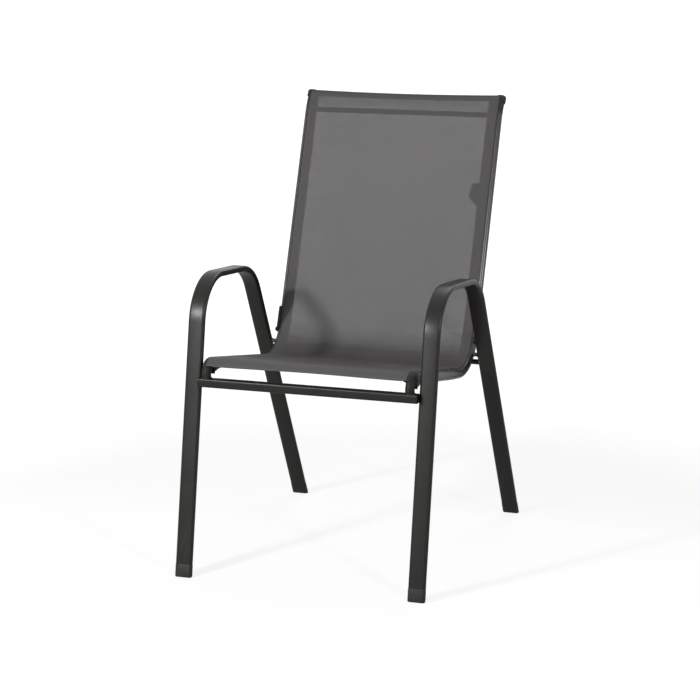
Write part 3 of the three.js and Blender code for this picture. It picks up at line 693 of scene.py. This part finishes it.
# %% The cloth's sizes, and where it runs along the rail
CLOTH, SEAM, HOLD = 0.0003, 0.020, 0.0052  # thickness; under-layer's inner edge from the rail; its sewn part
WRAP = RAIL_RADIUS + 0.0011  # radius of the sleeve round the rail's middle
SLING_START = NOSE_RISE + NOSE_RADIUS * np.radians(38)  # the nose's first 38 degrees stay bare
SLING_END = RAIL_END - 0.0012
CREASE_AT, CREASE_DEPTH, CREASE_HALF = 0.0024, 0.0014, 0.0011  # the sewn crease just past the rail's top
PAST_END = 0.01  # the line goes straight on past the rail, for the cloth's raised ends
end_lean = rail_line[-1, 2]
past_end = [PAST_END * np.sin(end_lean), PAST_END * np.cos(end_lean), 0, PAST_END]
cloth_line = np.concatenate([rail_line, rail_line[-1:] + [past_end]])
print("cloth from", round(SLING_START, 4), "to", round(SLING_END, 4))


# %% The sheet's sag along the rail, and its crease beside the rail
SEAT_SAG, BACK_SAG, HEEL_SAG = 0.0066, 0.003, 0.0015


def eased(t):
    """0 below 0, 1 above 1 and smooth between."""
    t = np.clip(t, 0, 1)
    return t * t * (3 - 2 * t)


def sag(far):
    """How far the middle of the sheet hangs below its edges.

    It is a squared sine over the seat's length, a lower one over the back's, and a sine over the bend's.
    """
    seat = np.clip((far - SLING_START) / (HEEL_START - SLING_START), 0, 1)
    back = np.clip((far - HEEL_END) / (SLING_END - HEEL_END), 0, 1)
    heel = np.clip((far - HEEL_START) / (HEEL_END - HEEL_START), 0, 1)
    swells = SEAT_SAG * np.sin(np.pi * seat) ** 2 + BACK_SAG * np.sin(np.pi * back) ** 2
    return swells + HEEL_SAG * np.sin(np.pi * heel)


def crease(arc):
    """Depth of the sewn crease at a distance along the wrap from the rail's top: a narrow bell curve."""
    return CREASE_DEPTH * np.exp(-((arc - CREASE_AT) / CREASE_HALF) ** 2)


print("deepest sag", round(float(sag(np.linspace(SLING_START, SLING_END, 500)).max()), 4))

# %% The cloth's cross profile
SLEEVE_DROP = 0.0034  # how far the loose sleeve hangs under the seat rail


def cross_profile(far, cut):
    """(across, up) of the cloth at `cut`, the signed distance over the cut from its middle line.

    Up to the rail's top the cloth is flat but for its sag. Then it goes round the rail, straight back up to
    the seam, and on under the sheet. On the seat the sleeve is loose and hangs a little under the rail. The
    third value is the distance at which the cut ends.
    """
    side, c = np.sign(cut), np.abs(cut)
    reach = np.hypot(SEAM - HOLD, WRAP - CLOTH)
    last = np.arctan2(WRAP - CLOTH, -(SEAM - HOLD)) + np.arccos(WRAP / reach) - 2 * np.pi
    turn = np.clip(np.pi / 2 - (c - RAIL_X) / WRAP, last, np.pi / 2)
    arc_end = RAIL_X + WRAP * (np.pi / 2 - last)
    straight = np.sqrt(reach ** 2 - WRAP ** 2)
    t = np.clip((c - arc_end) / straight, 0, 1)
    under = np.clip(c - arc_end - straight, 0, 1)
    # The sleeve is loose along most of the seat, and less so towards the nose and the bend
    loose = eased((far - 0.122) / 0.052) * eased((HEEL_START - far) / 0.133 + 0.5)
    low = np.clip(-np.sin(turn), 0, 1)
    radius = WRAP - crease((np.pi / 2 - turn) * WRAP)
    arc_a, arc_u = RAIL_X + radius * np.cos(turn), radius * np.sin(turn) - SLEEVE_DROP * loose * low ** 2
    seam_a, seam_u = RAIL_X - (SEAM - HOLD), WRAP - CLOTH * 1.2
    across = np.where(c <= RAIL_X, c, arc_a + (seam_a - arc_a) * t - under)
    slack = np.clip(1 - (np.minimum(c, RAIL_X - SEAM) / (RAIL_X - SEAM)) ** 2, 0, 1)
    up = np.where(c <= RAIL_X, WRAP - sag(far) * slack - crease(c - RAIL_X), arc_u + (seam_u - arc_u) * t)
    return side * across, up, arc_end + straight + HOLD


CUT_HALF = float(cross_profile(np.array(0.5), np.array(0.1))[2])
print("half of the cut's width", round(CUT_HALF, 4))

# %% Where the cloth begins and ends along the rail
CORNER_CUT, FRONT_DIP, TOP_DIP, SLEEVE_SHORT = 0.019, 0.0012, 0.0034, 0.004


def ends_of_cloth(cut):
    """Where the cloth begins and ends along the rail.

    Past the rail's top the front corners are cut back in an eased curve. Both edges dip in the middle, and at
    the top the sleeves end lower than the sheet.
    """
    c = np.abs(cut)
    past_top = c - RAIL_X - 0.002
    dip = FRONT_DIP * np.cos(np.pi * np.clip(c / 0.19, 0, 1) / 2) ** 2
    begin = SLING_START + CORNER_CUT * eased(past_top / 0.026) + dip
    finish = SLING_END + TOP_DIP * np.clip(c / RAIL_X, 0, 1) ** 2 - SLEEVE_SHORT * eased(past_top / 0.006)
    return begin, finish


print("cloth's length in the middle", round(np.diff(ends_of_cloth(0.0)).item(), 4))


# %% The woven sheet with its two sleeves
def spans(places, steps):
    """Values in order from place to place, with a number of steps in each span."""
    parts = [np.linspace(a, b, n + 1)[:-1] for a, b, n in zip(places, places[1:], steps)]
    return np.concatenate(parts + [[places[-1]]])


COVER_START, COVER_END = RAIL_X + 0.0012, RAIL_X + 0.046  # the part of the cut that wraps the rail
# Columns are distances over the cut, closest at the sleeve's crease; rows are lengths along the cloth
columns = spans([0, 0.19, RAIL_X - 0.001, RAIL_X + 0.006, COVER_END, CUT_HALF], [25, 8, 14, 21, 5])
columns = np.concatenate([-columns[:0:-1], columns])
wanted = spans([0, 0.05, HEEL_START - SLING_START, HEEL_END - SLING_START, SLING_END - SLING_START],
               [25, 44, 35, 74])
begin, finish = ends_of_cloth(columns)
far = begin + (finish - begin) * (wanted / wanted[-1])[:, None]
across, up, _ = cross_profile(far, columns)
pull = 0.00035 * np.sin(far * 190) * np.exp(-((np.abs(columns) - 0.185) / 0.012) ** 2)  # ripples at the seam
sheet_grid = carried(cloth_line, far, across, up + pull)
sheet_uv = np.stack(np.broadcast_arrays(columns + CUT_HALF, far), axis=-1)
sling = surface("sling_sheet", sheet_grid, sling_weave, "sling_mesh", ["sling"], closed_ring=False,
                ends=False, uv=sheet_uv, sharp=80)
print("sheet grid", sheet_grid.shape)

# %% Faces of the sleeves that are covered, and the cloth's thickness
# A face is woven, or smooth where it wraps the rail. At the sleeve's top it is plastic like the plugs.
# At the front corners the cloth is painted black with the pads' plastic, as painted shade under the seat's
# corners.
WEAVE, COVER, COVER_TOP, PAINTED_SHADE_CORNER = range(4)
for other in (sleeve_cover, cap_plastic, pad_plastic):
    sling.data.materials.append(other)
face_row, face_column = np.divmod(np.arange(len(sling.data.polygons)), len(columns) - 1)
middle = (columns[face_column] + columns[face_column + 1]) / 2
along = wanted[face_row]
on_sleeve = (np.abs(middle) > COVER_START) & (np.abs(middle) < COVER_END)
# painted shade: front corner faces of the cloth that take the black pad plastic
painted_shade_corner_faces = (along < 0.028) & ((middle > RAIL_X - 0.006) | (middle < -RAIL_X))
face_material = np.where(on_sleeve, np.where(wanted[-1] - along < 0.038, COVER_TOP, COVER), WEAVE)
face_material[painted_shade_corner_faces] = PAINTED_SHADE_CORNER
sling.data.polygons.foreach_set("material_index", face_material.astype(np.int32))


def thicken(piece):
    """Gives a sheet the cloth's thickness, half on each side."""
    thickness = piece.modifiers.new("cloth_thickness", "SOLIDIFY")
    thickness.thickness, thickness.offset = CLOTH, 0.0


thicken(sling)
print("covered faces", int((face_material > WEAVE).sum()), "of", len(face_material))

# %% Front and top hems: a second layer folded under each end
FRONT_HEM, TOP_HEM = 0.0155, 0.0128


def hem(name, depth, at_front, half_width):
    """The cloth goes round its own edge and lies under the sheet for `depth`.

    That is a profile of (along, under) in each column: half a turn of 0.6 mm radius, then a straight part.
    """
    c = np.linspace(-half_width, half_width, 61)
    begin, finish = ends_of_cloth(c)
    turn = np.radians(np.linspace(90, 270, 7))
    along = np.concatenate([-0.00075 * np.abs(np.cos(turn)), np.linspace(0.002, depth, 5)])
    under = np.concatenate([-0.0006 + 0.0006 * np.sin(turn), np.full(5, -0.00118)])
    far = (begin + along[:, None]) if at_front else (finish - along[:, None])
    across, up, _ = cross_profile(far, np.broadcast_to(c, far.shape))
    grid = carried(cloth_line, far, across, up + under[:, None])
    uv = np.stack(np.broadcast_arrays(c + CUT_HALF, far), axis=-1)
    piece = surface(name, grid, sling_weave, "sling_mesh", closed_ring=False, ends=False, uv=uv, sharp=80)
    thicken(piece)
    return piece


front_hem = hem("sling_front_hem", FRONT_HEM, True, 0.2)
top_hem = hem("sling_top_hem", TOP_HEM, False, 0.2085)
print("hems", FRONT_HEM, TOP_HEM)


# %% Sewing: rows of stitches through both layers
STITCH_LENGTH, STITCH_HALF_DEPTH, STITCH_STEP = 0.0027, 0.00125, 0.0034
STITCH_ENDS = np.array([-0.5, -0.32, 0.0, 0.32, 0.5])  # places of a stitch's rings along it, as shares
STITCH_GIRTH = np.array([0.25, 0.8, 1.0, 0.8, 0.25])  # their sizes, as shares
STITCH_POINTS = 6  # round each ring


def stitches(name, far, cut, yarn=thread, lift=-0.0006, half_width=0.00028):
    """One small spindle of thread per place (far, cut), laid along the row and through both layers.

    A spindle is a few flat oval rings, whose girth grows towards its middle.
    """
    across, up, _ = cross_profile(far, cut)
    here = carried(cloth_line, far, across, up + lift)
    ahead = np.roll(here, -1, axis=0) - here
    ahead[-1] = ahead[-2]
    ahead /= np.linalg.norm(ahead, axis=1)[:, None]
    lean = line_at(rail_line, far)[2]
    normal = np.stack([0 * lean, -np.cos(lean), np.sin(lean)], axis=1)
    wide = np.cross(ahead, normal)
    turn = np.linspace(0, 2 * np.pi, STITCH_POINTS, endpoint=False)
    lengths = STITCH_ENDS[:, None] * STITCH_LENGTH + 0 * turn
    widths = STITCH_GIRTH[:, None] * half_width * np.cos(turn)
    depths = STITCH_GIRTH[:, None] * STITCH_HALF_DEPTH * np.sin(turn)
    parts = ((lengths, ahead), (widths, wide), (depths, normal))
    cloud = here[:, None, None] + sum(size[..., None] * way[:, None, None] for size, way in parts)
    ids = np.arange(lengths.size).reshape(lengths.shape)
    starts = np.arange(len(here)) * lengths.size
    faces = (quads_of(ids, True) + starts[:, None, None]).reshape(-1, 4).tolist()
    faces += [(s + ids[0][::-1]).tolist() for s in starts] + [(s + ids[-1]).tolist() for s in starts]
    mesh = bpy.data.meshes.new(name)
    mesh.from_pydata(cloud.reshape(-1, 3).tolist(), [], faces)
    return finish_piece(name, mesh, yarn, "sling_mesh", (), True, None, 80)


SEAM_ROWS = (0.0178, 0.0154)  # their distances inside the rail's middle
HEM_ROW_HALF = 0.192
seam_far = np.arange(SLING_START + 0.024, SLING_END - 0.002, STITCH_STEP)
crease_far = np.arange(SLING_START + 0.004, SLING_END + 0.0005, 0.0029)
for word, side in SIDES.items():
    for row, inset in enumerate(SEAM_ROWS, 1):
        stitches(f"{word}_seam_{row}", seam_far, 0 * seam_far + side * (RAIL_X - inset))
    crease_cut = 0 * crease_far + side * (RAIL_X + CREASE_AT)
    # real stitches in the crease, made near-black as painted shade along the crease's line
    stitches(f"{word}_sleeve_crease_seam", crease_far, crease_cut, crease_shade_thread, 0.0003, 0.0013)
hem_cut = np.arange(-HEM_ROW_HALF, HEM_ROW_HALF + 0.0001, STITCH_STEP)
hem_begin, hem_finish = ends_of_cloth(hem_cut)
stitches("front_hem_seam", hem_begin + FRONT_HEM - 0.002, hem_cut)
stitches("top_hem_seam", hem_finish - (TOP_HEM - 0.002), hem_cut)

# %% [markdown]
# ## Pads and tag
# A black pad under each front corner of the seat holds the rail off a chair stacked below, and a curved
# guard on each back rail takes the next chair's legs. Both hug the rail, so their rings are carried along
# its line. Moulded plastic has no sharp edge, so a small bevel rounds the pads. A strip of plain tape is
# sewn in behind the right side seam, just above the back's middle.

# %% Pads under the seat's front corners
PAD_START, PAD_LENGTH, PAD_RINGS = NOSE_END - 0.013, 0.050, 12
PAD_HOLLOW = 0.0118  # radius of the pad's hollow round the rail's sleeve
for word, side in SIDES.items():
    far = np.linspace(PAD_START, PAD_START + PAD_LENGTH, PAD_RINGS)
    low = np.minimum(-0.0238 + 0.0158 * (far - PAD_START) / PAD_LENGTH, -0.0083)[:, None]
    hollow = np.radians(np.linspace(-48, 98, 20))
    hollow_a, hollow_u = -PAD_HOLLOW * np.sin(hollow), -PAD_HOLLOW * np.cos(hollow)
    # Each ring goes through the hollow, round a lip towards the chair's middle, and back along the sole
    ring_a = np.concatenate([hollow_a, [-0.0205, -0.0205, -0.0110, -0.0085, 0.0088]])
    lip = np.broadcast_to([0.0012, -0.0070, -0.0125], (PAD_RINGS, 3))
    ring_u = np.concatenate([np.maximum(hollow_u, low), np.maximum(lip, low), low, low], axis=1)
    grid = carried(rail_line, far[:, None], side * ring_a, ring_u, side * RAIL_X)
    pad = surface(f"{word}_front_pad", grid, pad_plastic, "pad_plastic", [f"{word}_seat_pad"], sharp=35)
    edge = pad.modifiers.new("moulded_edge", "BEVEL")
    edge.width, edge.segments, edge.limit_method, edge.angle_limit = 0.0006, 3, "ANGLE", np.radians(35)
    edge.harden_normals = True
print("front pads", len(SIDES))

# %% Guards on the back rails
GUARD_START = HEEL_END - 0.021
GUARD_INNER, GUARD_POINTS = 0.0112, 41
# (distance along the guard, thickness), with a raised rib at the lower end
GUARD_PROFILE = np.array([
    (0.0, 0.0048), (0.0006, 0.0060), (0.002, 0.0064), (0.004, 0.0064), (0.0055, 0.0060), (0.0064, 0.0047),
    (0.0075, 0.0042), (0.015, 0.0042), (0.03, 0.0042), (0.045, 0.0042), (0.0535, 0.0040), (0.0545, 0.0034),
    (0.055, 0.0026)])
turn = np.radians(np.linspace(-140, 60, GUARD_POINTS))
taper = 1 - 0.35 * np.clip(np.abs(np.linspace(-1, 1, GUARD_POINTS)) - 0.8, 0, 1) / 0.2  # thinner long edges
outer = GUARD_INNER + GUARD_PROFILE[:, 1:] * taper
inner = GUARD_INNER + 0 * outer
# Each ring is part of a tube's wall: the outer face one way round the rail, and the inner face back
ring_a = np.concatenate([outer * np.cos(turn), inner * np.cos(turn[::-1])], axis=1)
ring_u = np.concatenate([outer * np.sin(turn), inner * np.sin(turn[::-1])], axis=1)
for word, side in SIDES.items():
    grid = carried(rail_line, GUARD_START + GUARD_PROFILE[:, :1], side * ring_a, ring_u, side * RAIL_X)
    surface(f"{word}_back_guard", grid, pad_plastic, "pad_plastic", [f"{word}_stacking_pad"], sharp=50)
print("guards", len(SIDES), "length", GUARD_PROFILE[-1, 0])

# %% Plain tape in the side seam
TAG_START, TAG_LENGTH, TAG_EDGE = HEEL_END + 0.278, 0.050, 0.1985
far = np.linspace(TAG_START, TAG_START + TAG_LENGTH, 16)[:, None]
tag_width = np.interp((far - TAG_START) / TAG_LENGTH, [0, 0.4, 1], [0.004, 0.0249, 0.0187])  # from below
wide = TAG_EDGE - tag_width * np.linspace(1, 0, 9)
curl = 0.0013 * ((TAG_EDGE - wide) / 0.0217) ** 2  # the free edge bends back from the cloth
front_up = WRAP - 0.0012 - sag(far) * (1 - (wide / (RAIL_X - SEAM)) ** 2) - curl
ring_a = np.concatenate([wide, wide[:, ::-1]], axis=1)
ring_u = np.concatenate([front_up, front_up[:, ::-1] - 0.0007], axis=1)
surface("plain_tag", carried(rail_line, far, ring_a, ring_u), tag_tape, "tag_cloth", ["blank_tag"], sharp=60)
print("tag length", TAG_LENGTH)

# %% Update the scene
bpy.context.view_layer.update()
